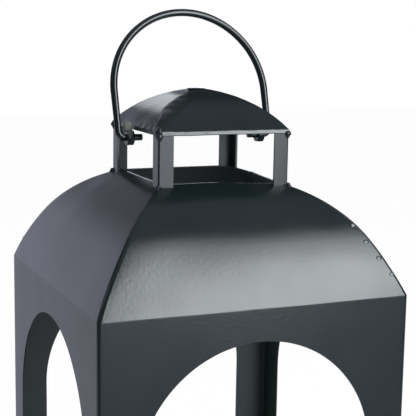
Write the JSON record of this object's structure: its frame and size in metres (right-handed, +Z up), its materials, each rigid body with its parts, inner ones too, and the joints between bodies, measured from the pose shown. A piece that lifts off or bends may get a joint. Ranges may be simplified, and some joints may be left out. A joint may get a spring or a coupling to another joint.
{
  "type": "candle lantern",
  "caption": "Square sheet-steel candle lantern with an arched opening in each side, a curved hipped roof, a domed cap on posts over the vent, and a round wire bail that swings.",
  "frame": {"origin": "middle of the square foot, on the surface the lantern stands on", "axes": "+Z up, -Y towards the front wall, +X towards the right wall as seen from the front"},
  "size_m": [0.28, 0.28, 0.5996],
  "materials": {
    "panel_paint": "satin black powder coat over sheet steel, slight orange peel",
    "floor_paint": "satin black powder coat over sheet steel",
    "post_paint": "satin black powder coat over angle steel",
    "cap_paint": "satin black powder coat over sheet steel",
    "rim_paint": "satin black powder coat over round wire",
    "weld_paint": "satin black powder coat over rough weld metal",
    "nut_paint": "satin black powder coat over steel nuts",
    "bail_paint": "semi-gloss black powder coat over round wire"
  },
  "bodies": {
    "lantern": {"front_panel": "panel_paint", "right_panel": "panel_paint", "back_panel": "panel_paint", "left_panel": "panel_paint", "floor_plate": "floor_paint", "post_front_left": "post_paint", "post_front_right": "post_paint", "post_back_right": "post_paint", "post_back_left": "post_paint", "cap_front": "cap_paint", "cap_right": "cap_paint", "cap_back": "cap_paint", "cap_left": "cap_paint", "cap_rim": "rim_paint", "hip_tack_welds": "weld_paint", "post_foot_welds": "weld_paint", "post_head_welds": "weld_paint", "nut_welds": "weld_paint", "cap_crown_weld": "weld_paint", "pivot_nut_left": "nut_paint", "pivot_nut_right": "nut_paint"},
    "bail": {"bail_handle": "bail_paint"}
  },
  "joints": [
    {"name": "bail_swing", "type": "hinge", "parent": "lantern", "child": "bail", "pos_m": [0, 0, 0.48539], "axis": [1, 0, 0], "range_deg": [-100, 135]}
  ]
}
